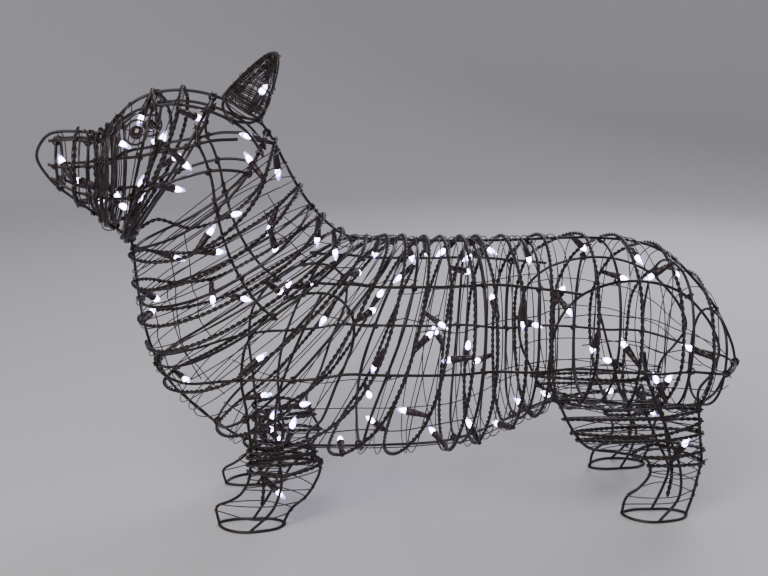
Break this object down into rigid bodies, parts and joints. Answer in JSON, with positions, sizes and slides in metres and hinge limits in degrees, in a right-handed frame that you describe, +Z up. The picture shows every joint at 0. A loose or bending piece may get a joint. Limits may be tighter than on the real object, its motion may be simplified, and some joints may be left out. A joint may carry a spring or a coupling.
{
  "type": "dog topiary frame",
  "caption": "Life-size short-legged dog as an open cage of bent dark wire, standing on four ring feet, with pointed ears, wound with strings of small clear lamps.",
  "frame": {"origin": "on the ground, in the middle of the dog's length and width as its box has them", "axes": "+X towards the tail, so the dog faces -X; +Y towards its right side; +Z up"},
  "size_m": [0.723, 0.1904, 0.4724],
  "materials": {
    "frame": "satin dark brown coating on steel wire",
    "eye": "gloss",
    "cable": "satin soft insulation",
    "tie_wire": "satin dark brown coating on thin wire",
    "bulb": "clear, lit cool white"
  },
  "bodies": {
    "root": {"back_wire": "frame", "chest_and_belly_wire": "frame", "head_profile_wire": "frame", "crown_wire_left": "frame", "crown_wire_right": "frame", "upper_cheek_wire_left": "frame", "upper_cheek_wire_right": "frame", "lower_cheek_wire_left": "frame", "lower_cheek_wire_right": "frame", "neck_wire_left": "frame", "neck_wire_right": "frame", "upper_side_wire_left": "frame", "upper_side_wire_right": "frame", "lower_side_wire_left": "frame", "lower_side_wire_right": "frame", "nose_hoop": "frame", "muzzle_hoop": "frame", "stop_hoop": "frame", "forehead_hoop": "frame", "crown_hoop": "frame", "collar_hoop": "frame", "neck_hoop": "frame", "chest_hoop": "frame", "shoulder_hoop": "frame", "rib_hoop": "frame", "loin_hoop": "frame", "flank_hoop": "frame", "hip_hoop": "frame", "rump_hoop": "frame", "tail_hoop": "frame", "front_left_leg": "frame", "front_right_leg": "frame", "hind_left_leg": "frame", "hind_right_leg": "frame", "ear_left": "frame", "ear_right": "frame", "eye_ring_left": "frame", "eye_ring_right": "frame", "eye_left": "eye", "eye_right": "eye", "light_string_body": "cable", "light_string_head_and_neck": "cable", "light_string_front_legs": "cable", "light_string_hind_legs": "cable"}
  },
  "joints": []
}
